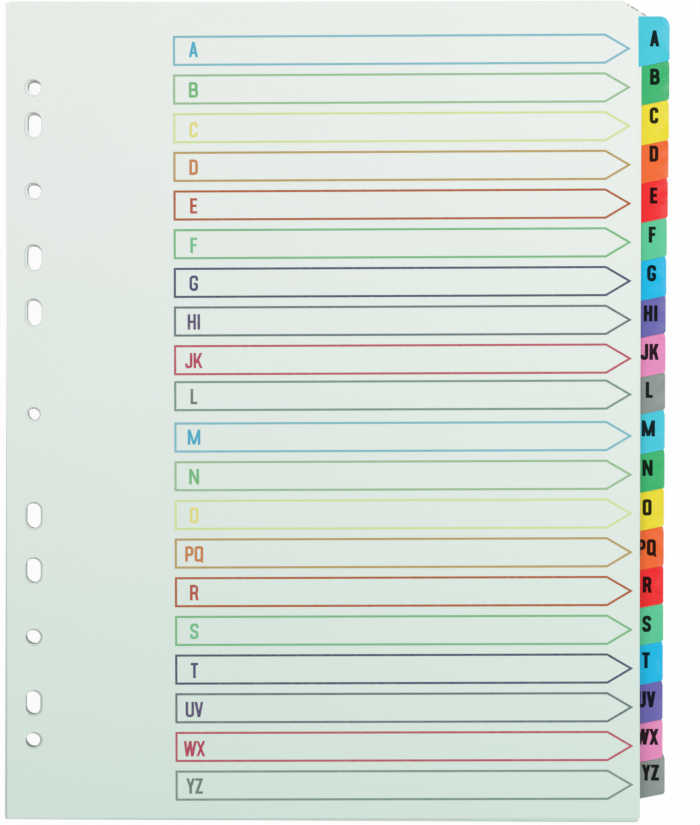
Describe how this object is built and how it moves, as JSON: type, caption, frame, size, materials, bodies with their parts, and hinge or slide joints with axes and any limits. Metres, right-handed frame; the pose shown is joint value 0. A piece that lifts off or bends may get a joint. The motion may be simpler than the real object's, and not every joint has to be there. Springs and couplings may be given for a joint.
{
  "type": "index divider",
  "caption": "Index dividers for a ring binder: a punched index sheet on a stack of punched card dividers whose film-covered colour tabs step down the right edge.",
  "frame": {"origin": "centre of the bounding box at the underside of the stack", "axes": "+Z out of the front of the index sheet, +Y up the page, +X towards the tabs"},
  "size_m": [0.2428, 0.2992, 0.0063],
  "materials": {
    "card": "matt, lightly mottled white card",
    "film_light_blue": "glossy coloured film folded over the tab",
    "film_green": "glossy coloured film folded over the tab",
    "film_yellow": "glossy coloured film folded over the tab",
    "film_orange": "glossy coloured film folded over the tab",
    "film_red": "glossy coloured film folded over the tab",
    "film_mint": "glossy coloured film folded over the tab",
    "film_blue": "glossy coloured film folded over the tab",
    "film_violet": "glossy coloured film folded over the tab",
    "film_pink": "glossy coloured film folded over the tab",
    "film_grey": "glossy coloured film folded over the tab"
  },
  "bodies": {
    "root": {"index_sheet": "card", "divider_a": "card", "divider_b": "card", "divider_c": "card", "divider_d": "card", "divider_e": "card", "divider_f": "card", "divider_g": "card", "divider_hi": "card", "divider_jk": "card", "divider_l": "card", "divider_m": "card", "divider_n": "card", "divider_o": "card", "divider_pq": "card", "divider_r": "card", "divider_s": "card", "divider_t": "card", "divider_uv": "card", "divider_wx": "card", "divider_yz": "card", "tab_film_a": "film_light_blue", "tab_film_b": "film_green", "tab_film_c": "film_yellow", "tab_film_d": "film_orange", "tab_film_e": "film_red", "tab_film_f": "film_mint", "tab_film_g": "film_blue", "tab_film_hi": "film_violet", "tab_film_jk": "film_pink", "tab_film_l": "film_grey", "tab_film_m": "film_light_blue", "tab_film_n": "film_green", "tab_film_o": "film_yellow", "tab_film_pq": "film_orange", "tab_film_r": "film_red", "tab_film_s": "film_mint", "tab_film_t": "film_blue", "tab_film_uv": "film_violet", "tab_film_wx": "film_pink", "tab_film_yz": "film_grey"}
  },
  "joints": []
}
